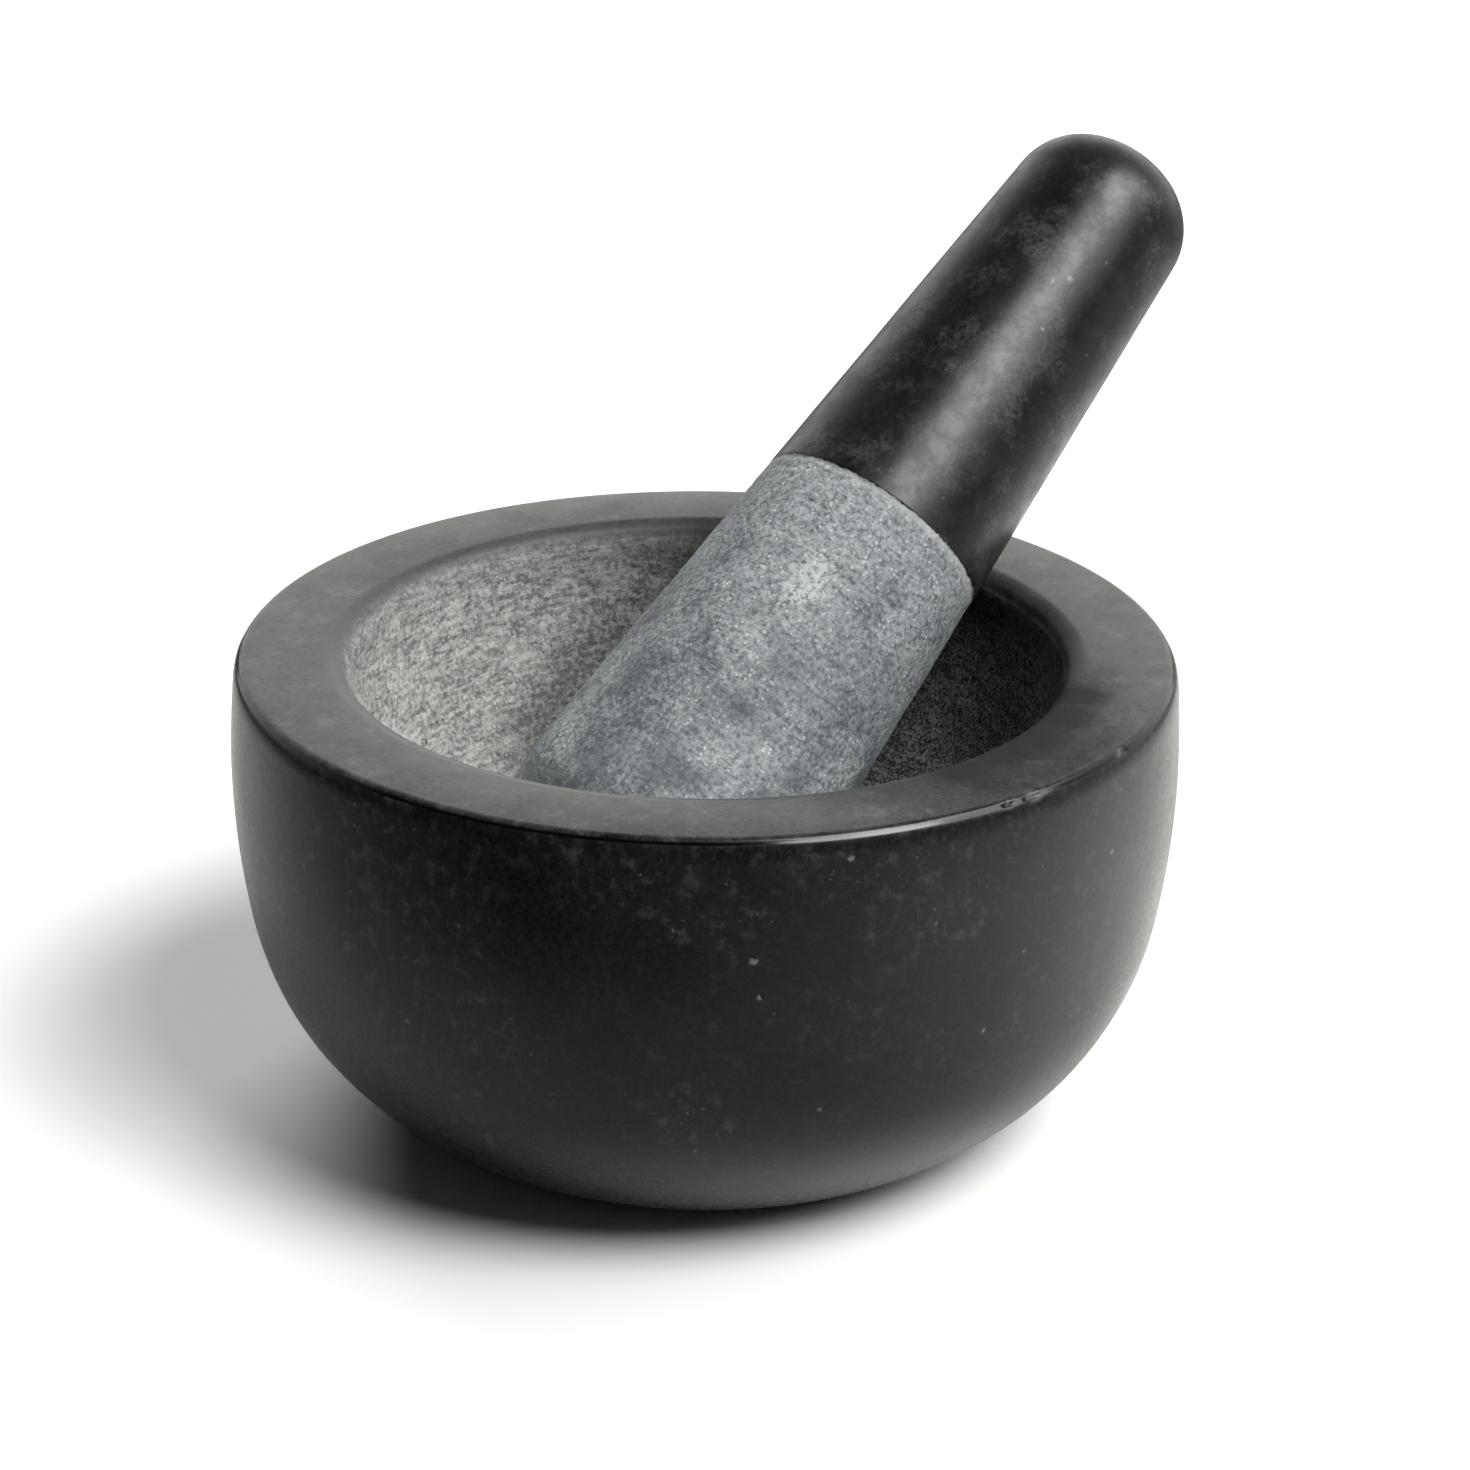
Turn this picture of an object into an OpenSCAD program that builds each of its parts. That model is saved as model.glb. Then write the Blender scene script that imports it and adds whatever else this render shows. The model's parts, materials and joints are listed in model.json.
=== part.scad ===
// Stone mortar and pestle: a turned bowl with a ground hollow, and a tapered
// pestle that leans in it. The base stands on z = 0, centred on the origin,
// and the pestle leans towards +X in the XZ plane.

/* [Bowl] */
// Outside diameter at the widest point
bowl_d = 140; // [125:1:160]
// Height from the base to the flat rim
bowl_h = 71; // [68:0.5:80]
// Height of the widest point above the base
widest_z = 55.5; // [52:0.5:58]
// Radius of the slow curve of the wall, seen in section
wall_r = 125; // [100:1:200]
// Radius of the belly between the wall and the base, seen in section
belly_r = 44; // [43:0.5:50]
// Angle below the widest point at which the wall turns into the belly
belly_angle = 10.5; // [8:0.5:14]
// Rounding of the rim's outer edge
rim_edge_r = 1.2; // [0.6:0.1:3]

/* [Hollow] */
// Diameter at which the flat rim ends and the lip begins
lip_d = 112.5; // [106:0.5:118]
// Rounding of the lip between the flat rim and the hollow
lip_r = 4.5; // [2:0.5:6]
// Radius of the hollow's side, seen in section
hollow_side_r = 44; // [40:0.5:46]
// Thickness of the stone under the hollow
floor_t = 20; // [18:0.5:22]

/* [Pestle] */
// Length from the striking end to the grip end
pestle_len = 156; // [130:1:190]
// Radius of the ball-shaped striking end
striking_r = 22.4; // [18:0.1:25]
// Angle of the pestle's side to its axis
taper = 3.7; // [2:0.1:4.5]
// Radius of the crown on the grip end
crown_r = 18.5; // [17:0.5:40]
// Rounding between the crown and the side
shoulder_r = 11; // [6:0.5:11]

/* [Seat] */
// Lean of the pestle's axis above the horizontal
lean = 37.6; // [34:0.1:50]
// Gap left between the two stones where they touch
seat_gap = 0.25; // [0.1:0.05:0.5]

/* [Hidden] */
$fn = 180;
bowl_grey = [0.19, 0.19, 0.19];
pestle_grey = [0.27, 0.28, 0.29];
// How far one outline reaches into the next, or past the shape that it cuts
overlap = 1;
// Angle by which a slice of a disc runs on inside its neighbour
slack = 5;
// How far a disc stands proud where its arc runs into the next line, so that the two cross cleanly
touch = 0.002;

// Unit vector at an angle from the first axis of a section
function heading(angle) = [cos(angle), sin(angle)];

// Outline of the bowl: the wall's arc, the belly's arc inside it and the rim's edge touch
wall_centre = [bowl_d / 2 - wall_r, widest_z];
belly_centre = wall_centre + (wall_r - belly_r) * heading(-belly_angle);
rim_rise = bowl_h - rim_edge_r - widest_z;
rim_angle = asin(rim_rise / (wall_r - rim_edge_r));
rim_centre = wall_centre + (wall_r - rim_edge_r) * heading(rim_angle);

// Hollow: the side's arc drops from the lip and runs into the floor's larger arc
lip_centre = [lip_d / 2, bowl_h - lip_r];
mouth_r = lip_centre.x - lip_r;
side_centre = [mouth_r - hollow_side_r, lip_centre.y];
hollow_depth = lip_centre.y - floor_t;
floor_r = (side_centre.x ^ 2 + hollow_depth ^ 2 - hollow_side_r ^ 2) / (2 * (hollow_depth - hollow_side_r));
floor_centre = [0, floor_t + floor_r];
floor_turn = atan2(side_centre.y - floor_centre.y, side_centre.x);

// Pestle along its own axis, striking end down: the side touches the ball at its
// taper, and the shoulder touches both the side and the crown
side_normal = heading(taper);
side_along = heading(taper + 90);
ball_centre = [0, striking_r];
crown_centre = [0, pestle_len - crown_r];
shoulder_out = striking_r * (1 + sin(taper)) - shoulder_r - crown_centre * side_normal;
shoulder_up = sqrt((crown_r - shoulder_r) ^ 2 - shoulder_out ^ 2);
shoulder_centre = crown_centre + shoulder_out * side_normal + shoulder_up * side_along;
crown_turn = atan2(shoulder_centre.y - crown_centre.y, shoulder_centre.x);

// Seat of the pestle in the XZ plane: its lower side passes the lip, and its ball
// passes the hollow's floor, each at the seat's gap
under_along = heading(lean + taper);
under_normal = heading(lean + taper - 90);
ball_out = (lip_centre - floor_centre) * under_normal - striking_r - lip_r - seat_gap;
ball_reach = floor_r - striking_r - seat_gap;
ball_back = sqrt(ball_reach ^ 2 - ball_out ^ 2);
ball_seat = floor_centre + ball_out * under_normal - ball_back * under_along;

// Slice of a disc between two angles
module sector(centre, radius, from, to) {
    reach = 2 * radius;
    intersection() {
        translate(centre) circle(r = radius);
        polygon([
            centre,
            centre + reach * heading(from),
            centre + reach * heading((from + to) / 2),
            centre + reach * heading(to)
        ]);
    }
}

// Half section of the bowl before it is hollowed, cut flat at the base and the rim
module bowl_outline() {
    intersection() {
        square([bowl_d, bowl_h]);
        union() {
            polygon([
                [0, 0],
                [belly_centre.x + overlap, 0],
                [belly_centre.x + overlap, belly_centre.y],
                rim_centre + rim_edge_r * [0.5, -1],
                rim_centre + rim_edge_r * [0.5, 0],
                [rim_centre.x, bowl_h],
                [0, bowl_h]
            ]);
            sector(belly_centre, belly_r + touch, -90, slack - belly_angle);
            sector(wall_centre, wall_r, -belly_angle, rim_angle);
            sector(rim_centre, rim_edge_r + touch, rim_angle - slack, 90 + slack);
        }
    }
}

// Half section of the hollow, flared at the lip and open above the rim
module hollow_outline() {
    polygon([
        floor_centre + floor_r / 2 * heading(-90),
        side_centre,
        [mouth_r - overlap, lip_centre.y],
        [mouth_r - overlap, bowl_h + overlap],
        [0, bowl_h + overlap]
    ]);
    sector(floor_centre, floor_r, -90, floor_turn);
    sector(side_centre, hollow_side_r + touch, floor_turn - slack, slack);
    difference() {
        translate([mouth_r - 2 * overlap, lip_centre.y]) square([lip_r + 2 * overlap, lip_r + overlap]);
        translate(lip_centre) circle(r = lip_r + touch);
    }
}

// Half section of the pestle on its own axis, striking end at zero
module pestle_outline() {
    polygon([
        ball_centre,
        ball_centre + striking_r * side_normal,
        shoulder_centre + shoulder_r * side_normal,
        shoulder_centre,
        [0, crown_centre.y + overlap]
    ]);
    sector(ball_centre, striking_r + touch, -90, taper + slack);
    sector(shoulder_centre, shoulder_r + touch, taper - slack, crown_turn + slack);
    sector(crown_centre, crown_r, crown_turn, 90);
}

module bowl() {
    color(bowl_grey) rotate_extrude() difference() {
        bowl_outline();
        hollow_outline();
    }
}

module pestle() {
    color(pestle_grey)
        translate([ball_seat.x, 0, ball_seat.y])
            rotate([0, 90 - lean, 0])
                translate([0, 0, -striking_r])
                    rotate_extrude() pestle_outline();
}

bowl();
pestle();
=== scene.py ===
import json
import math

import bpy
import numpy as np
from mathutils import Matrix, Vector


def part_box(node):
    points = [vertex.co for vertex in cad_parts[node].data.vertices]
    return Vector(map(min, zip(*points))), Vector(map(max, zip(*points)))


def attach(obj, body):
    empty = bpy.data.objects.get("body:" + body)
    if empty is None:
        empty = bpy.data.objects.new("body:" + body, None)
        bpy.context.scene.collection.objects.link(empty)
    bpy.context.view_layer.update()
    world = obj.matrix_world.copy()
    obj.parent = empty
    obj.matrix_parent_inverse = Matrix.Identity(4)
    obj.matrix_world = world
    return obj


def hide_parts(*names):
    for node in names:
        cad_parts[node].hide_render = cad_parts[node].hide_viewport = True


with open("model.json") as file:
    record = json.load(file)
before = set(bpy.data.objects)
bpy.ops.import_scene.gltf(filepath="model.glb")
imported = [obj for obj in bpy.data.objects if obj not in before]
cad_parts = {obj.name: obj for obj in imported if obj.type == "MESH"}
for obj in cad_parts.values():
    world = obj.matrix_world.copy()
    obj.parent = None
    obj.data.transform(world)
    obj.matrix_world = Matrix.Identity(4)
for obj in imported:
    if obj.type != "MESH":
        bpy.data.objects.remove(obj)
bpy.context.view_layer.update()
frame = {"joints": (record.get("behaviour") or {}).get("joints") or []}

scene = bpy.context.scene
mm = 1000  # millimetres in a metre: shapes are worked out in metres, materials and marks in millimetres
print("frame loaded")


# Surfaces of revolution

# Unit vector at an angle from the first axis of a section
def heading(degrees):
    return np.array((math.cos(math.radians(degrees)), math.sin(math.radians(degrees))))


# Arc of a section: centre plus radius times the unit vector at even angles, without its last point
def arc(centre, radius, start, end, count):
    angles = np.radians(np.linspace(start, end, count, endpoint=False))
    return np.column_stack((centre[0] + radius * np.cos(angles), centre[1] + radius * np.sin(angles)))


# Straight stretch of a section, without its last point; a power over 1 draws its points towards the end
def straight(start, end, count, power=1.0):
    share = 1 - (1 - np.linspace(0, 1, count, endpoint=False)) ** power
    return np.array(start) + (np.array(end) - np.array(start)) * share[:, None]


# Joins stretches into one section and gives the length run along it at each point and at each stretch's start
def joinSection(stretches, last):
    section = np.vstack(stretches + [np.array([last])])
    along = np.concatenate(([0], np.cumsum(np.hypot(*np.diff(section, axis=0).T))))
    starts = np.cumsum([0] + [len(stretch) for stretch in stretches])
    return section, along, along[starts]


# Seeded smooth noise of about unit size: plane waves of random direction and phase, near the given length
def ripple(points, length, seed, count=48):
    random = np.random.default_rng(seed)
    direction = random.normal(size=(count, 3))
    direction /= np.linalg.norm(direction, axis=1)[:, None]
    pitch = 2 * math.pi / (length * random.uniform(0.7, 1.5, count))
    phase = random.uniform(0, 2 * math.pi, count)
    return np.cos(points @ (direction * pitch[:, None]).T + phase).sum(1) * math.sqrt(2 / count)


# Share that goes smoothly from 0 to 1 as a value goes from low to high
def rise(values, low, high):
    share = np.clip((values - low) / (high - low), 0, 1)
    return share * share * (3 - 2 * share)


# Depth of a wear of given length and depth: 0 at the tops of its noise, the full depth in the hollows
def worn(points, wear, seed):
    length, depth = wear
    return depth * np.clip(0.5 - 0.3 * ripple(points, length, seed), 0, 1)


# Surface of revolution: radius and height of a section swept through a full turn about its axis, both ends
# closed by one point, sunk along the normal by the relief's depth, then put in place by a turn and a shift
def revolve(name, section, along, segments, turn, shift, relief, zoneStarts=()):
    slope = np.gradient(section, axis=0)
    slope /= np.linalg.norm(slope, axis=1)[:, None]
    outward = np.column_stack((slope[:, 1], -slope[:, 0]))
    outward[0], outward[-1] = (0, -1), (0, 1)
    angle = np.linspace(0, 2 * math.pi, segments, endpoint=False)
    around = np.column_stack((np.cos(angle), np.sin(angle)))

    def sweep(pairs):
        flat = pairs[:, None, :1] * around[None]
        rings = np.concatenate((flat, np.repeat(pairs[:, None, 1:], segments, 1)), 2)
        return np.vstack((rings[:1, 0], rings[1:-1].reshape(-1, 3), rings[-1:, 0]))

    rows = len(section) - 2
    points, normals = sweep(section), sweep(outward)
    run = np.concatenate((along[:1], np.repeat(along[1:-1], segments), along[-1:]))
    points = points - normals * relief(points, run)[:, None]
    points = points @ np.array(turn).T + np.array(shift)

    step = np.arange(segments)
    after = (step + 1) % segments
    ring = 1 + np.arange(rows - 1)[:, None] * segments
    above = ring + segments
    quads = np.stack((ring + step, ring + after, above + after, above + step), 2).reshape(-1, 4)
    top = 1 + (rows - 1) * segments
    foot = np.column_stack((np.zeros_like(step), 1 + after, 1 + step))
    crown = np.column_stack((top + step, top + after, np.full_like(step, top + segments)))
    mesh = bpy.data.meshes.new(name)
    mesh.from_pydata(points.tolist(), [], foot.tolist() + quads.tolist() + crown.tolist())
    mesh.polygons.foreach_set("use_smooth", np.ones(len(mesh.polygons), bool))
    zone = np.searchsorted(zoneStarts, (along[1:] + along[:-1]) / 2)
    mesh.polygons.foreach_set("material_index", np.repeat(zone, segments).astype(np.int32))
    mesh.attributes.new("along", "FLOAT", "POINT").data.foreach_set("value", (run * mm).astype(np.float32))
    mesh.update()
    piece = bpy.data.objects.new(name, mesh)
    scene.collection.objects.link(piece)
    return piece


# Shader nodes

def put(tree, kind, inputs, **settings):
    node = tree.nodes.new("ShaderNode" + kind)
    for name, value in settings.items():
        setattr(node, name, value)
    for key, value in inputs.items():
        if isinstance(value, bpy.types.NodeSocket):
            tree.links.new(value, node.inputs[key])
        else:
            node.inputs[key].default_value = value
    return node


def calc(tree, operation, first, second):
    return put(tree, "Math", {0: first, 1: second}, operation=operation).outputs[0]


def times(tree, first, second):
    return calc(tree, "MULTIPLY", first, second)


def plus(tree, first, second):
    return calc(tree, "ADD", first, second)


def larger(tree, first, second):
    return calc(tree, "MAXIMUM", first, second)


def between(tree, value, low, high, toLow=0.0, toHigh=1.0):
    ends = {"From Min": low, "From Max": high, "To Min": toLow, "To Max": toHigh}
    return put(tree, "MapRange", {"Value": value, **ends}, interpolation_type="SMOOTHSTEP").outputs["Result"]


def grain(tree, where, scale, detail=2.0, roughness=0.5):
    noise = {"Vector": where, "Scale": scale, "Detail": detail, "Roughness": roughness}
    return put(tree, "TexNoise", noise).outputs[0]


def stretched(tree, where, scale):
    return put(tree, "VectorMath", {0: where, 1: scale}, operation="MULTIPLY").outputs[0]


def dotProduct(tree, first, second):
    return put(tree, "VectorMath", {0: first, 1: second}, operation="DOT_PRODUCT").outputs["Value"]


# Place as seen from axes that are turned and stand at a point
def ownAxes(tree, where, turn, middle=(0, 0, 0)):
    axes = {"Vector": where, "Location": middle, "Rotation": turn}
    return put(tree, "Mapping", axes, vector_type="TEXTURE").outputs[0]


def mixColour(tree, share, first, second):
    first, second = ((*colour, 1) if isinstance(colour, tuple) else colour for colour in (first, second))
    return put(tree, "Mix", {0: share, 6: first, 7: second}, data_type="RGBA").outputs[2]


def mixValue(tree, share, first, second):
    return put(tree, "Mix", {0: share, 2: first, 3: second}).outputs[0]


# Dots in some of the cells of a cell pattern: 1 at a dot's middle, 0 outside it
def dots(tree, where, scale, size, share):
    cells = put(tree, "TexVoronoi", {"Vector": where, "Scale": scale})
    chosen = put(tree, "SeparateColor", {0: cells.outputs["Color"]}).outputs[0]
    near = between(tree, cells.outputs["Distance"], size, size * 0.4)
    return times(tree, near, calc(tree, "GREATER_THAN", chosen, 1 - share))


# Marks at given places, each with its size: 1 in the middle, 0 outside; noise frays their outline
def marksAt(tree, where, marks, fray):
    noise = put(tree, "TexNoise", {"Vector": where, "Scale": 0.9, "Detail": 3}).outputs["Color"]
    moved = put(tree, "VectorMath", {0: noise, 1: (fray,) * 3, 2: where}, operation="MULTIPLY_ADD").outputs[0]
    share = 0.0
    for x, y, z, size in marks:
        middle = (x + fray / 2, y + fray / 2, z + fray / 2)
        away = put(tree, "VectorMath", {0: moved, 1: middle}, operation="DISTANCE").outputs["Value"]
        share = larger(tree, share, between(tree, away, size, size * 0.3))
    return share


# Length run along the section, and the same shifted by fine grain so that a border on it frays
def alongSection(tree):
    return put(tree, "Attribute", {}, attribute_name="along").outputs["Fac"]


def wandering(tree, along, fine, reach):
    return plus(tree, along, times(tree, calc(tree, "SUBTRACT", fine, 0.5), reach))


# Cloudy stone: a share from 0 to 1 that mixes broad clouds with fine grain, and the fine grain itself
def clouded(tree, where, broad, fine):
    cloud, speck = grain(tree, where, broad, 4, 0.6), grain(tree, where, fine, 3, 0.65)
    both = plus(tree, times(tree, cloud, 0.5), times(tree, speck, 0.5))
    return between(tree, both, 0.33, 0.67), speck


# Rough ground stone: a share from 0 to 1 that mixes pecked grain, a share of scouring and broad mottling
def mottled(tree, where, peck, scour, scourShare):
    broad, broadShare = grain(tree, where, 0.2, 5, 0.7), 0.14
    fine = plus(tree, times(tree, peck, 1 - broadShare - scourShare), times(tree, scour, scourShare))
    return between(tree, plus(tree, fine, times(tree, broad, broadShare)), 0.36, 0.64)


# New material, its tree, its shader and the place on the stone in millimetres
def stone(name):
    material = bpy.data.materials.new(name)
    material.use_nodes = True
    tree = material.node_tree
    shader = tree.nodes["Principled BSDF"]
    shader.inputs["Specular IOR Level"].default_value = 0.5
    place = put(tree, "TexCoord", {}).outputs["Object"]
    return material, tree, shader, stretched(tree, place, (mm, mm, mm))


def dress(tree, shader, colour, roughness, height):
    bump = put(tree, "Bump", {"Height": height, "Distance": 0.001, "Strength": 0.8})
    tree.links.new(colour, shader.inputs["Base Color"])
    tree.links.new(roughness, shader.inputs["Roughness"])
    tree.links.new(bump.outputs[0], shader.inputs["Normal"])


# Bowl: the wall's arc, the belly's arc and the rim's edge touch, and the hollow's side runs into its floor.
# Sizes are in metres, wear is a length and a depth, and marks are x, y, z and size in millimetres
bowl = {
    "widestHeight": 0.0555, "wallRadius": 0.125, "bellyRadius": 0.044, "bellyAngle": 10.5, "rimEdge": 0.0012,
    "lipDiameter": 0.1125, "lipRadius": 0.0045, "sideRadius": 0.044, "floorThickness": 0.020, "segments": 480,
    "footRows": 1, "rimRows": 1.3, "flatRows": 0.0006,  # reach of closer rows, in degrees and on the flat
    "rimFrom": 0.0003, "groundFrom": 0.0036,  # where rim and ground start, from the edge and from the lip
    "peck": (0.0026, 0.00022), "lump": (0.0075, 0.0003), "wave": (0.022, 0.00008), "reliefSeed": 11,
    "groundFade": (-0.0004, 0.0006), "waveFrom": (0.03, 0.05), "waveFade": 0.004,
    "rimDome": 0.00015, "domeFade": 0.004, "rimWear": 0.00024, "wearReach": 0.0005,
    "edgeFall": 0.00026, "fallReach": 0.0026, "chipDepth": 0.0004,
    "chips": ((-6.5, -68.7, 70.7, 1.9), (14.1, -67.6, 70.7, 1.6), (-11.0, -68.2, 70.8, 1.2)),
    "marks": ((-45.3, -53.3, 53.5, 0.7), (-44.7, -53.6, 48.0, 0.45), (10.2, -69.2, 57.0, 0.6),
              (-8.3, -69.3, 48.0, 0.5), (-34.3, -60.4, 67.5, 0.6), (-13.8, -67.2, 37.0, 0.5),
              (-35.6, -56.8, 29.0, 0.5)),
    # darkSpots: painted shadow of the pestle on the hollow's wall beside it
    "darkSpots": ((23.7, 44.0, 54.0, 7.0), (18.3, 44.6, 49.3, 8.0), (12.7, 44.7, 45.5, 8.0),
               (8.1, 44.5, 43.5, 7.0)),
    # places of the painted dark reflection of the pestle on the rim's inner margin at the front right
    "pestleReflectionSpots": ((24.0, -50.5, 69.5, 8.0), (16.5, -53.5, 69.5, 9.5), (8.4, -55.5, 69.5, 10.0),
                  (0.2, -56.0, 69.5, 9.5), (-7.5, -56.0, 69.5, 8.0)),
    "outside": (0.0025, 0.0025, 0.0023), "outsidePale": (0.011, 0.011, 0.0102), "outsideRough": (0.24, 0.36),
    # foot: pale colour near the base for a painted reflection of the lit floor
    "speck": (0.046, 0.046, 0.044), "fleck": (0.16, 0.16, 0.155), "foot": (0.18, 0.18, 0.172),
    "rim": (0.003, 0.003, 0.003), "rimPale": (0.044, 0.044, 0.041), "rimRough": (0.10, 0.42),
    # colour and roughness of the painted pestle reflection
    "paintedPestleReflection": (0.0018, 0.0024, 0.0032), "reflectionSpotRough": 0.6, "edgeRough": 0.13,
    "lip": (0.085, 0.086, 0.082), "lipRough": (0.16, 0.30), "lipEndRough": 0.5,
    "hollowDark": (0.14, 0.14, 0.132), "hollowPale": (0.70, 0.71, 0.675), "hollowGrain": (0.80, 0.81, 0.78),
    # colours of the hollow's painted shade on the lamps' side: dark, with pale crystals
    "paintedShadeDark": (0.007, 0.007, 0.0065), "paintedShadePale": (0.38, 0.385, 0.36), "hollowRough": 0.9,
    "paintedLightSide": (0.7, -0.71, 0),  # direction towards the lamps, in which painted shade darkens the hollow and painted reflection lightens the foot
}
bowlLow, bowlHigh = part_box("bowl")
bowlRadius, bowlHeight = (bowlHigh.x - bowlLow.x) / 2, bowlHigh.z
wallCentre = np.array((bowlRadius - bowl["wallRadius"], bowl["widestHeight"]))
bellyCentre = wallCentre + (bowl["wallRadius"] - bowl["bellyRadius"]) * heading(-bowl["bellyAngle"])
baseAngle = -math.degrees(math.asin(bellyCentre[1] / bowl["bellyRadius"]))
baseEdge = bellyCentre + bowl["bellyRadius"] * heading(baseAngle)
footAngle = baseAngle + bowl["footRows"]
rimReach = bowl["wallRadius"] - bowl["rimEdge"]
rimAngle = math.degrees(math.asin((bowlHeight - bowl["rimEdge"] - bowl["widestHeight"]) / rimReach))
closeAngle = rimAngle - bowl["rimRows"]
rimCentre = wallCentre + rimReach * heading(rimAngle)
flatEdge, flatNear = (rimCentre[0], bowlHeight), (rimCentre[0] - bowl["flatRows"], bowlHeight)
lipCentre = np.array((bowl["lipDiameter"] / 2, bowlHeight - bowl["lipRadius"]))
sideCentre = lipCentre - (bowl["lipRadius"] + bowl["sideRadius"], 0)
hollowDepth = lipCentre[1] - bowl["floorThickness"]
floorRadius = ((sideCentre[0] ** 2 + hollowDepth ** 2 - bowl["sideRadius"] ** 2)
               / (2 * (hollowDepth - bowl["sideRadius"])))
floorCentre = np.array((0, bowl["floorThickness"] + floorRadius))
floorTurn = math.degrees(math.atan2(sideCentre[1] - floorCentre[1], sideCentre[0]))
bowlSection, bowlAlong, bowlMarks = joinSection([
    straight((0, 0), (baseEdge[0], 0), 8, 2.5),
    arc(bellyCentre, bowl["bellyRadius"], baseAngle, footAngle, 2),
    arc(bellyCentre, bowl["bellyRadius"], footAngle, -bowl["bellyAngle"], 28),
    arc(wallCentre, bowl["wallRadius"], -bowl["bellyAngle"], closeAngle, 18),
    arc(wallCentre, bowl["wallRadius"], closeAngle, rimAngle, 8),
    arc(rimCentre, bowl["rimEdge"], rimAngle, 90, 12),
    straight(flatEdge, flatNear, 3),
    straight(flatNear, (lipCentre[0], bowlHeight), 12),
    arc(lipCentre, bowl["lipRadius"], 90, 180, 14),
    arc(sideCentre, bowl["sideRadius"], 0, floorTurn, 62),
    arc(floorCentre, floorRadius, floorTurn, -90, 38),
], (0, bowl["floorThickness"]))
edgeStart, flatStart, _, lipStart = bowlMarks[5:9]
groundStart = lipStart + bowl["groundFrom"]


# Depth of the bowl's wear: ground hollow, wavy wall, domed rim, wall falling off softly below the rim's edge,
# worn edge and chips
def bowlRelief(points, run):
    seed = bowl["reliefSeed"]
    rough = rise(run - groundStart, *bowl["groundFade"])
    smooth = rise(run, *bowl["waveFrom"]) * (1 - rise(run, edgeStart - bowl["waveFade"], edgeStart))
    ground = worn(points, bowl["peck"], seed) + worn(points, bowl["lump"], seed + 1)
    waved = worn(points, bowl["wave"], seed + 2)
    pastEdge = rise(run, edgeStart, flatStart)
    across = np.clip((2 * run - flatStart - lipStart) / (lipStart - flatStart), -1, 1)
    domed = pastEdge * (1 - rise(run, lipStart, lipStart + bowl["domeFade"])) * bowl["rimDome"] * across ** 2
    fall = np.clip((run - edgeStart) / bowl["fallReach"] + 1, 0, 1) ** 2
    falling = fall * (1 - pastEdge) * bowl["edgeFall"]
    fromEdge = np.abs(run - (edgeStart + flatStart) / 2)
    rounded = bowl["rimWear"] * rise(-fromEdge, (edgeStart - flatStart) / 2 - bowl["wearReach"], 0)
    chipped = sum(bowl["chipDepth"] * (1 - rise(np.linalg.norm(points * mm - (x, y, z), axis=1), 0, size))
                  for x, y, z, size in bowl["chips"])
    return rough * ground + smooth * waved + domed + falling + rounded + chipped


bowlPiece = revolve("bowlStone", bowlSection, bowlAlong, bowl["segments"], np.eye(3), (0, 0, 0), bowlRelief,
                    (edgeStart + bowl["rimFrom"], lipStart))
flatAt, lipAt, groundAt = mm * flatStart, mm * lipStart, mm * groundStart


def outsideMaterial():
    material, tree, shader, where = stone("bowlOutside")
    shade, fine = clouded(tree, where, 0.05, 1.1)
    crowd = between(tree, grain(tree, where, 0.05, 3), 0.38, 0.60)
    specks = plus(tree, between(tree, grain(tree, where, 0.42, 4, 0.65), 0.50, 0.76),
                  between(tree, grain(tree, where, 0.9, 3, 0.6), 0.55, 0.8, 0, 0.6))
    upright = stretched(tree, where, (1.3, 1.3, 0.14))
    streaks = between(tree, grain(tree, upright, 1.0, 4, 0.7), 0.55, 0.8, 0, 0.7)
    dusty = times(tree, larger(tree, specks, streaks), between(tree, crowd, 0, 1, 0.2, 1))
    colour = mixColour(tree, shade, bowl["outside"], bowl["outsidePale"])
    colour = mixColour(tree, dusty, colour, bowl["speck"])
    # Paler foot near the base, more so towards the lamps' side: painted reflection of the lit floor
    height = put(tree, "SeparateXYZ", {0: where}).outputs["Z"]
    side = dotProduct(tree, where, bowl["paintedLightSide"])
    foot = times(tree, between(tree, height, 26, 4), between(tree, side, -40, 45, 0.12, 1))
    colour = mixColour(tree, foot, colour, bowl["foot"])
    bright = times(tree, between(tree, grain(tree, where, 0.8, 2), 0.7, 0.78, 0, 0.6), crowd)
    flecks = larger(tree, marksAt(tree, where, bowl["marks"], 1.6), bright)
    colour = mixColour(tree, flecks, colour, bowl["fleck"])
    dress(tree, shader, colour, mixValue(tree, shade, *bowl["outsideRough"]), times(tree, fine, 0.02))
    return material


# Painted dark reflection of the pestle on the rim's inner margin and on the lip, frayed
def paintedPestleReflection(tree, where):
    return times(tree, marksAt(tree, where, bowl["pestleReflectionSpots"], 4.0), 0.9)


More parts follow.
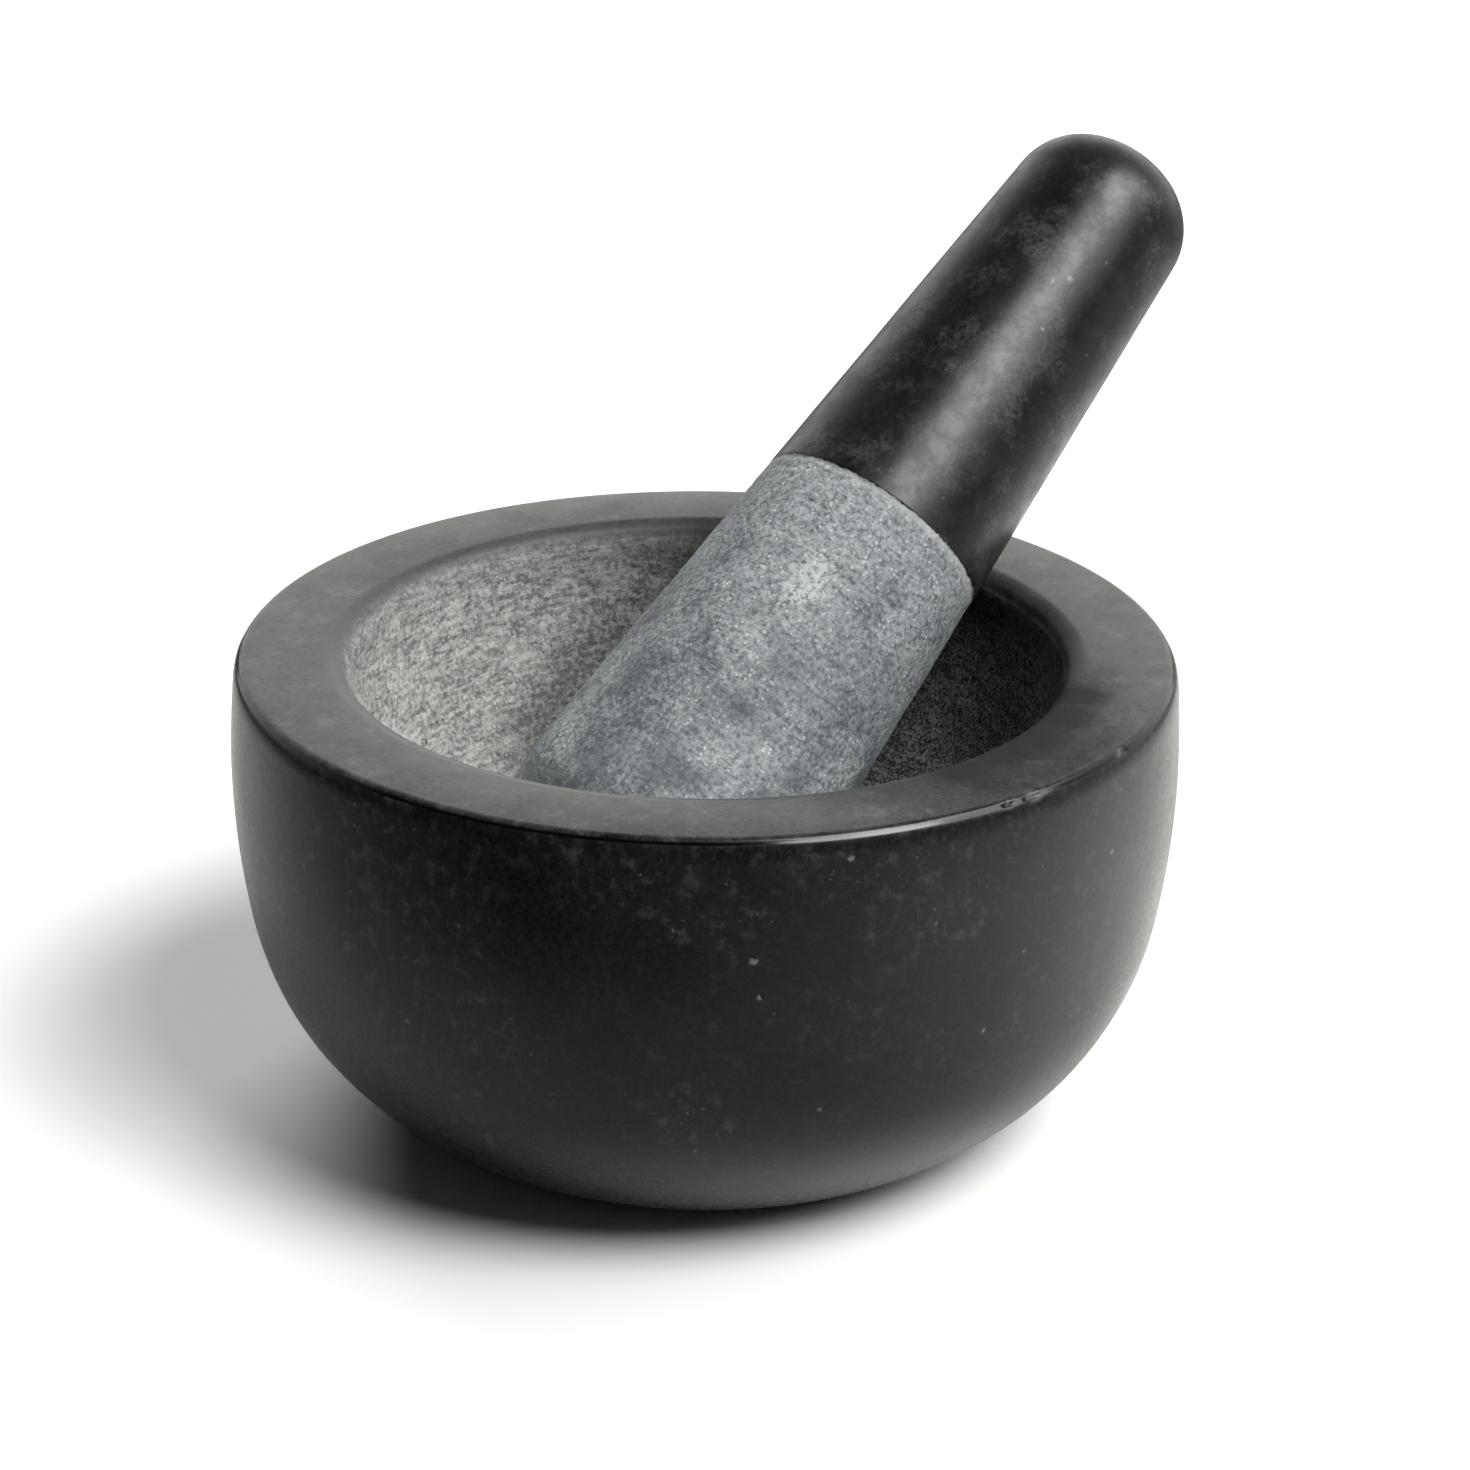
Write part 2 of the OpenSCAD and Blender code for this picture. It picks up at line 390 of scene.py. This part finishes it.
def rimMaterial():
    material, tree, shader, where = stone("bowlRim")
    shade, fine = clouded(tree, where, 0.12, 1.2)
    scuffs = between(tree, grain(tree, where, 0.22, 6, 0.75), 0.52, 0.7, 0, 0.36)
    colour = mixColour(tree, shade, bowl["rim"], bowl["rimPale"])
    colour = mixColour(tree, scuffs, colour, bowl["fleck"])
    onFlat = between(tree, alongSection(tree), flatAt - 1.0, flatAt - 0.4)
    colour = mixColour(tree, onFlat, bowl["outside"], colour)
    # Painted dark reflection of the pestle on the rim's inner margin
    darkSpot = paintedPestleReflection(tree, where)
    colour = mixColour(tree, darkSpot, colour, bowl["paintedPestleReflection"])
    colour = mixColour(tree, marksAt(tree, where, bowl["chips"], 1.5), colour, bowl["fleck"])
    roughness = mixValue(tree, grain(tree, where, 0.2, 5, 0.7), *bowl["rimRough"])
    roughness = mixValue(tree, onFlat, bowl["edgeRough"], roughness)
    roughness = mixValue(tree, darkSpot, roughness, bowl["reflectionSpotRough"])
    dress(tree, shader, colour, roughness, times(tree, fine, mixValue(tree, onFlat, 0.004, 0.014)))
    return material


# Ground hollow inside the smooth lip, pale, with painted shade darkening its wall on the lamps' side and a
# painted shadow of the pestle beside it
def hollowMaterial():
    material, tree, shader, where = stone("bowlHollow")
    along = alongSection(tree)
    shade, fine = clouded(tree, where, 0.12, 1.2)
    peck = grain(tree, where, 1.15, 4, 0.75)
    scour = grain(tree, stretched(tree, where, (0.25, 0.25, 1.3)), 1.0, 3, 0.7)
    speckle = mottled(tree, where, peck, scour, 0.36)
    ground = mixColour(tree, speckle, bowl["hollowDark"], bowl["hollowPale"])
    grains = times(tree, dots(tree, where, 1.3, 0.42, 0.25), 0.7)
    ground = mixColour(tree, grains, ground, bowl["hollowGrain"])
    # Painted shadow of the pestle on the hollow's wall beside it
    darkSpot = marksAt(tree, where, bowl["darkSpots"], 8.0)
    darkSpot = times(tree, darkSpot, between(tree, peck, 0.62, 0.38, 0.3, 0.8))
    ground = mixColour(tree, darkSpot, ground, bowl["hollowDark"])
    nearLip = between(tree, along, groundAt - 1, groundAt + 6.5, 0.55, 0)
    ground = mixColour(tree, nearLip, ground, bowl["hollowDark"])

    # Painted shade: the hollow darkens towards the lamps' side, where its wall faces away from them
    paintedShade = between(tree, dotProduct(tree, where, bowl["paintedLightSide"]), -34, 16, 0, 0.93)
    crystals = mixValue(tree, 0.55, speckle, between(tree, grain(tree, where, 2.6, 3, 0.7), 0.38, 0.62))
    crystals = times(tree, between(tree, crystals, 0.25, 0.9),
                     between(tree, along, groundAt, groundAt + 15, 0.1, 1))
    paintedShadeGround = mixColour(tree, crystals, bowl["paintedShadeDark"], bowl["paintedShadePale"])
    ground = mixColour(tree, paintedShade, ground, paintedShadeGround)

    wander = wandering(tree, along, fine, 2)
    frayed = between(tree, wander, groundAt - 1.4, groundAt + 1.4)
    crisp = between(tree, along, groundAt + 0.6, groundAt + 1.4)
    inside = mixValue(tree, paintedShade, frayed, crisp)
    onLip = between(tree, wander, lipAt - 0.2, lipAt + 3)
    lip = mixColour(tree, shade, bowl["rim"], bowl["rimPale"])
    # The pale lip tone fades on the lamps' side: painted shade
    lip = mixColour(tree, times(tree, onLip, between(tree, paintedShade, 0, 1, 1, 0.35)), lip, bowl["lip"])
    # Painted dark reflection of the pestle on the lip
    lipPestleReflection = paintedPestleReflection(tree, where)
    lip = mixColour(tree, lipPestleReflection, lip, bowl["paintedPestleReflection"])
    roughness = mixValue(tree, onLip, mixValue(tree, shade, *bowl["lipRough"]), bowl["lipEndRough"])
    roughness = mixValue(tree, lipPestleReflection, roughness, bowl["reflectionSpotRough"])
    roughness = mixValue(tree, inside, roughness, bowl["hollowRough"])
    height = plus(tree, times(tree, times(tree, peck, 0.3), inside), times(tree, fine, 0.014))
    dress(tree, shader, mixColour(tree, inside, lip, ground), roughness, height)
    return material


for material in (outsideMaterial(), rimMaterial(), hollowMaterial()):
    bowlPiece.data.materials.append(material)
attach(bowlPiece, "bowl")
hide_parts("bowl")
print("bowl built")


# Pestle, on its own axis from the striking end: ball, tapered side, shoulder and crown touch.
# Sizes are in metres, wear is a length and a depth, and marks are x, y, z and size in millimetres
pestle = {
    "length": 0.156, "strikingRadius": 0.0224, "taper": 3.7, "crownRadius": 0.0185, "shoulderRadius": 0.011,
    "polishedLength": 0.076, "segments": 360, "polishRows": 0.0006,  # reach of closer rows at its end
    "peck": (0.0024, 0.00014), "lump": (0.009, 0.00014), "wave": (0.02, 0.00008), "reliefSeed": 31,
    "step": 0.00006, "stepReach": 0.0002,
    "marks": ((63.5, -10.8, 115.6, 0.6), (66.0, -12.0, 115.7, 0.6), (58.6, -13.1, 109.7, 0.5)),
    # darkSpots on the head: partly stains, partly painted shade on its lower right and its left
    "darkSpots": ((-11.5, -0.8, 70.4, 8.5), (-7.5, -4.0, 72.6, 6.0), (-16.4, -2.7, 66.9, 7.0),
               (16.6, -17.5, 76.6, 3.6), (21.2, -17.7, 78.8, 2.8), (-6.2, -14.0, 67.6, 3.6),
               (-21.5, 0.4, 63.7, 6.0), (2.9, -20.7, 59.9, 6.0), (9.2, -20.6, 62.4, 5.0),
               (0.3, 2.5, 78.1, 4.0), (6.2, 3.5, 81.9, 3.0)),
    "rubs": ((11.7, -10.8, 82.1, 4.6), (8.7, -10.6, 80.3, 4.2)),
    "grip": (0.004, 0.004, 0.005), "gripPale": (0.013, 0.014, 0.014), "gripDust": (0.064, 0.070, 0.074),
    "fleck": (0.22, 0.23, 0.24), "gripRough": (0.31, 0.41),
    "headDark": (0.10, 0.114, 0.126), "headPale": (0.56, 0.592, 0.606), "headGrain": (0.80, 0.83, 0.84),
    "rubbed": (0.72, 0.74, 0.74), "headRough": 0.65,
    "scratchTurn": (0.6, -0.5, 0),  # turn of the second set of scratches
}
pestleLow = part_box("pestle")[0]
pull = Vector(frame["joints"][0]["axis"])
lean = math.degrees(math.atan2(pull.z, pull.x)) - pestle["taper"]
axisLean = math.radians(90 - lean)
ball = pestle["strikingRadius"]
ballSeat = Vector((pestleLow.x + ball, 0, pestleLow.z + ball))
sideNormal, sideRun = heading(pestle["taper"]), heading(pestle["taper"] + 90)
ballCentre = np.array((0, 0))
crownCentre = np.array((0, pestle["length"] - ball - pestle["crownRadius"]))
shoulderOut = ball - pestle["shoulderRadius"] - crownCentre @ sideNormal
shoulderUp = math.sqrt((pestle["crownRadius"] - pestle["shoulderRadius"]) ** 2 - shoulderOut ** 2)
shoulderCentre = crownCentre + shoulderOut * sideNormal + shoulderUp * sideRun
crownTurn = math.degrees(math.atan2(shoulderCentre[1] - crownCentre[1], shoulderCentre[0]))
sideStart, sideEnd = ball * sideNormal, shoulderCentre + pestle["shoulderRadius"] * sideNormal
polishHeight = pestle["length"] - ball - pestle["polishedLength"]
polishStart = sideStart + (sideEnd - sideStart) * (polishHeight - sideStart[1]) / (sideEnd[1] - sideStart[1])
nearPolish = pestle["polishRows"] * sideRun
pestleSection, pestleAlong, pestleMarks = joinSection([
    arc(ballCentre, ball, -90, pestle["taper"], 46),
    straight(sideStart, polishStart - nearPolish, 74),
    straight(polishStart - nearPolish, polishStart + nearPolish, 6),
    straight(polishStart + nearPolish, sideEnd, 34),
    arc(shoulderCentre, pestle["shoulderRadius"], pestle["taper"], crownTurn, 16),
    arc(crownCentre, pestle["crownRadius"], crownTurn, 90, 12),
], (0, pestle["length"] - ball))
polishAlong = (pestleMarks[2] + pestleMarks[3]) / 2


# Depth of the pestle's wear: ground head a step below the wavy polished grip
def pestleRelief(points, run):
    seed = pestle["reliefSeed"]
    polished = rise(run, polishAlong - pestle["stepReach"], polishAlong + pestle["stepReach"])
    ground = worn(points, pestle["peck"], seed) + worn(points, pestle["lump"], seed + 1)
    return (1 - polished) * (pestle["step"] + ground) + polished * worn(points, pestle["wave"], seed + 2)


pestlePiece = revolve("pestleStone", pestleSection, pestleAlong, pestle["segments"],
                      Matrix.Rotation(axisLean, 3, "Y"), ballSeat, pestleRelief)
polishAt = mm * polishAlong


# Polished grip and ground head, whose grain follows the pestle's own axis
def pestleMaterial():
    material, tree, shader, where = stone("pestleStone")
    turned = ownAxes(tree, where, (0, axisLean, 0), tuple(mm * ballSeat))
    along = alongSection(tree)
    shade, fine = clouded(tree, turned, 0.06, 1.4)
    bright = between(tree, grain(tree, turned, 0.5, 3), 0.68, 0.8, 0, 0.5)
    flecks = larger(tree, bright, marksAt(tree, where, pestle["marks"], 1.6))
    dust = times(tree, between(tree, grain(tree, turned, 0.11, 5, 0.7), 0.46, 0.66),
                 between(tree, fine, 0.3, 0.65))
    grip = mixColour(tree, shade, pestle["grip"], pestle["gripPale"])
    grip = mixColour(tree, dust, grip, pestle["gripDust"])
    grip = mixColour(tree, flecks, grip, pestle["fleck"])

    peck = grain(tree, turned, 1.25, 4, 0.75)
    crossed = ownAxes(tree, turned, pestle["scratchTurn"])
    scour = larger(tree, grain(tree, stretched(tree, turned, (0.08, 0.08, 1.6)), 1.0, 3, 0.7),
                   grain(tree, stretched(tree, crossed, (0.08, 0.08, 1.8)), 1.0, 3, 0.7))
    speckle = mottled(tree, turned, peck, scour, 0.26)
    head = mixColour(tree, speckle, pestle["headDark"], pestle["headPale"])
    grains = times(tree, dots(tree, turned, 1.3, 0.42, 0.25), 0.8)
    head = mixColour(tree, grains, head, pestle["headGrain"])
    # Dark mottling of the stone, made stronger towards the head's lower end as painted shade
    mottleAndLowShade = times(tree, between(tree, grain(tree, turned, 0.08, 4, 0.6), 0.60, 0.36),
                   between(tree, along, 80, 45, 0.25, 0.72))
    head = mixColour(tree, mottleAndLowShade, head, pestle["headDark"])
    # Dark spots on the head: partly stains, partly painted shade on its lower right and its left
    darkSpot = marksAt(tree, where, pestle["darkSpots"], 9.0)
    darkSpot = times(tree, darkSpot, between(tree, peck, 0.62, 0.38, 0.3, 0.75))
    head = mixColour(tree, darkSpot, head, pestle["headDark"])
    rub = times(tree, marksAt(tree, where, pestle["rubs"], 6.0), between(tree, peck, 0.35, 0.55, 0, 0.8))
    head = mixColour(tree, rub, head, pestle["rubbed"])

    wander = wandering(tree, along, fine, 0.7)
    ring = between(tree, wander, polishAt - 1.6, polishAt - 0.2, 0, 0.45)
    head = mixColour(tree, ring, head, pestle["rubbed"])
    onGrip = between(tree, wander, polishAt - 0.15, polishAt + 0.15)
    patches = between(tree, grain(tree, turned, 0.25, 5, 0.65), 0.38, 0.64)
    roughness = mixValue(tree, onGrip, pestle["headRough"], mixValue(tree, patches, *pestle["gripRough"]))
    cut = plus(tree, times(tree, peck, 0.25), times(tree, scour, 0.08))
    height = mixValue(tree, onGrip, cut, times(tree, fine, 0.016))
    dress(tree, shader, mixColour(tree, onGrip, head, grip), roughness, height)
    return material


pestlePiece.data.materials.append(pestleMaterial())
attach(pestlePiece, "pestle")
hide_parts("pestle")
print("pestle built")


# Camera: it stands at an azimuth, elevation and distance from a target, which shows at a given pixel
camera = {
    "azimuth": -45.842, "elevation": 24.493, "distance": 0.62, "target": (0, 0, 0.04), "lens": 101.23,
    "sensor": 36, "frameWidth": 1470, "targetPixel": (704.739, 837.634), "roll": 0.486,
}


# Unit vector towards a place round the part, by its turn from the front and its elevation
def pointFrom(azimuth, elevation):
    a, e = math.radians(azimuth), math.radians(elevation)
    return Vector((math.sin(a) * math.cos(e), -math.cos(a) * math.cos(e), math.sin(e)))


def makeCamera():
    data = bpy.data.cameras.new("camera")
    data.sensor_width, data.lens = camera["sensor"], camera["lens"]
    data.clip_start, data.clip_end = 0.01, 50
    shot = bpy.data.objects.new("camera", data)
    scene.collection.objects.link(shot)
    back = pointFrom(camera["azimuth"], camera["elevation"])
    right = pointFrom(camera["azimuth"] + 90, 0)
    basis = Matrix((right, back.cross(right), back)).transposed()
    roll = math.radians(camera["roll"])
    middle = camera["frameWidth"] / 2
    across, down = (Vector(camera["targetPixel"]) - Vector((middle, middle))) @ Matrix.Rotation(roll, 2)
    ray = Vector((across, -down, -data.lens / data.sensor_width * camera["frameWidth"]))
    basis = basis @ ray.rotation_difference(Vector((0, 0, -1))).to_matrix()
    basis = basis @ Matrix.Rotation(roll, 3, "Z")
    shot.matrix_world = Matrix.LocRotScale(Vector(camera["target"]) + camera["distance"] * back, basis, None)
    scene.camera = shot


makeCamera()
print("camera placed")


# Studio: white floor that keeps the shadow, and soft lamps given by turn from the camera to its right,
# elevation, strength and angle across. The back wall's light isn't mirrored, because the surround already
# shows white there. Mirror shades say what glossy stone sees of the floor close by, of the floor further
# away and of the room
studio = {
    "lamps": {
        "key": {"turn": 50, "elevation": 54, "strength": 1.7, "angle": 29, "mirrored": True},
        "side": {"turn": 77, "elevation": 46, "strength": 1.5, "angle": 42, "mirrored": True},
        "backWall": {"turn": 190, "elevation": 38, "strength": 1.7, "angle": 50, "mirrored": False},
    },
    "surround": 0.02,
    "floorSize": 6, "floorDrop": 0.0002, "floorColour": 0.8, "floorSeen": (1.26, 1.25, 1.23),
    "mirrorFloor": {"turn": 145, "from": -1, "to": 0.55, "dark": 0.02, "bright": 1.29},
    "mirrorFar": {"turn": 90, "from": -0.8, "to": 0.8, "dark": 0.02, "bright": 0.28},
    "mirrorRoom": {"turn": 172, "from": -0.1, "to": 1, "dark": 0.02, "bright": 1.33},
    "mirrorTint": (1, 1, 0.96),
    "levelWithin": 0.18, "farFrom": 0.2, "farTo": 0.42,  # distances on the floor, in metres
    "roomFade": (0.4, 0.8, 1, 0.2),  # from height to height of the direction, and from strength to strength
}


# 1 for rays that show the background, and 1 for those of them that come off or through a glossy surface
def backgroundRays(tree):
    rays = put(tree, "LightPath", {}).outputs
    bent = larger(tree, rays["Is Glossy Ray"], rays["Is Transmission Ray"])
    return larger(tree, rays["Is Camera Ray"], bent), bent


# What glossy stone mirrors: a white side, by turn from the camera, that goes over evenly into a dark one
def mirrored(tree, direction, shades):
    facing = dotProduct(tree, direction, pointFrom(camera["azimuth"] + shades["turn"], 0))
    ends = {"From Min": shades["from"], "From Max": shades["to"],
            "To Min": shades["dark"], "To Max": shades["bright"]}
    return put(tree, "MapRange", {"Value": facing, **ends}).outputs["Result"]


def tinted(tree, strength):
    return put(tree, "VectorMath", {0: studio["mirrorTint"], "Scale": strength}, operation="SCALE").outputs[0]


def makeFloor():
    half, drop = studio["floorSize"], studio["floorDrop"]
    corners = [(-half, -half, -drop), (half, -half, -drop), (half, half, -drop), (-half, half, -drop)]
    mesh = bpy.data.meshes.new("floor")
    mesh.from_pydata(corners, [], [(0, 1, 2, 3)])
    floor = bpy.data.objects.new("floor", mesh)
    scene.collection.objects.link(floor)
    paper = bpy.data.materials.new("floorPaper")
    paper.use_nodes = True
    tree = paper.node_tree
    tree.nodes.remove(tree.nodes["Principled BSDF"])
    place = put(tree, "TexCoord", {}).outputs["Object"]
    away = put(tree, "VectorMath", {0: place}, operation="LENGTH").outputs["Value"]
    shorten = calc(tree, "DIVIDE", 1, larger(tree, away, studio["levelWithin"]))
    outward = put(tree, "VectorMath", {0: place, "Scale": shorten}, operation="SCALE").outputs[0]
    far = between(tree, away, studio["farFrom"], studio["farTo"])
    far = mixValue(tree, far, 1.0, mirrored(tree, outward, studio["mirrorFar"]))
    shine = times(tree, mirrored(tree, outward, studio["mirrorFloor"]), far)
    seen, bent = backgroundRays(tree)
    shown = mixColour(tree, seen, (studio["floorColour"],) * 3, studio["floorSeen"])
    diffuse = put(tree, "BsdfDiffuse", {"Color": mixColour(tree, bent, shown, tinted(tree, shine))})
    tree.links.new(diffuse.outputs[0], tree.nodes["Material Output"].inputs["Surface"])
    mesh.materials.append(paper)


def makeLamps():
    for name, lamp in studio["lamps"].items():
        sun = bpy.data.lights.new(name, "SUN")
        sun.energy, sun.angle = lamp["strength"], math.radians(lamp["angle"])
        light = bpy.data.objects.new(name, sun)
        scene.collection.objects.link(light)
        light.visible_glossy = lamp["mirrored"]
        light.rotation_mode = "QUATERNION"
        towards = pointFrom(camera["azimuth"] + lamp["turn"], lamp["elevation"])
        light.rotation_quaternion = towards.to_track_quat("Z", "Y")


def makeSurround():
    world = bpy.data.worlds.new("surround")
    world.use_nodes = True
    scene.world = world
    tree = world.node_tree
    direction = put(tree, "TexCoord", {}).outputs["Generated"]
    height = put(tree, "SeparateXYZ", {0: direction}).outputs["Z"]
    shine = mirrored(tree, direction, studio["mirrorRoom"])
    shine = times(tree, shine, between(tree, height, *studio["roomFade"]))
    seen, bent = backgroundRays(tree)
    plain = mixColour(tree, seen, (studio["surround"],) * 3, (1, 1, 1))
    colour = mixColour(tree, bent, plain, tinted(tree, shine))
    tree.links.new(colour, tree.nodes["Background"].inputs["Color"])
    scene.view_settings.view_transform = "Standard"


makeFloor()
makeLamps()
makeSurround()
print("studio lit")
